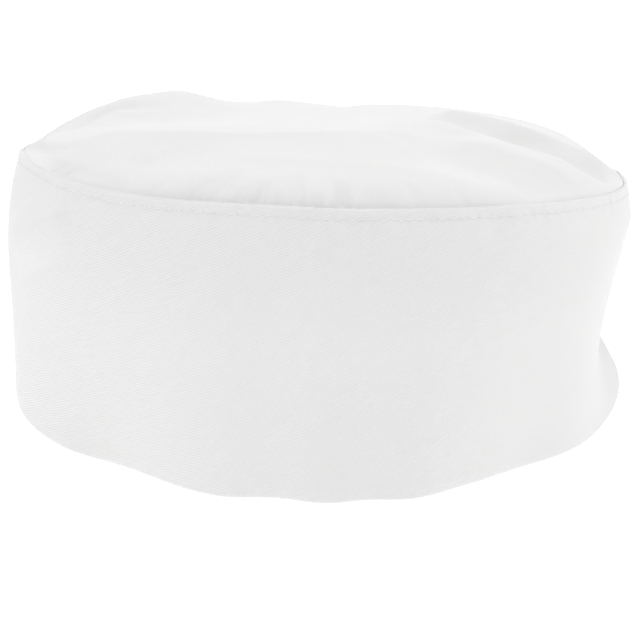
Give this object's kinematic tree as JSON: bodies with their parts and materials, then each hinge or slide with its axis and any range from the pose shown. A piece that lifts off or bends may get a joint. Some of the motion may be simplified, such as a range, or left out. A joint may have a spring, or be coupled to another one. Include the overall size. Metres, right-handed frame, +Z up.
{
  "type": "chef hat",
  "caption": "Low round cook's hat: a stiff upright cloth band with a soft flat crown sewn in at its top edge, open below for the head.",
  "frame": {"origin": "centre of the outline, at the level of the hem that the hat stands on", "axes": "+Z up from the hem to the crown, -Y towards the front of the hat, +X to the right seen from the front"},
  "size_m": [0.1995, 0.1994, 0.0833],
  "materials": {
    "band_twill": "matt white twill, folded double",
    "crown_twill": "matt white twill, one layer, lightly puckered at the seam"
  },
  "bodies": {
    "root": {"side_band": "band_twill", "crown_top": "crown_twill"}
  },
  "joints": []
}
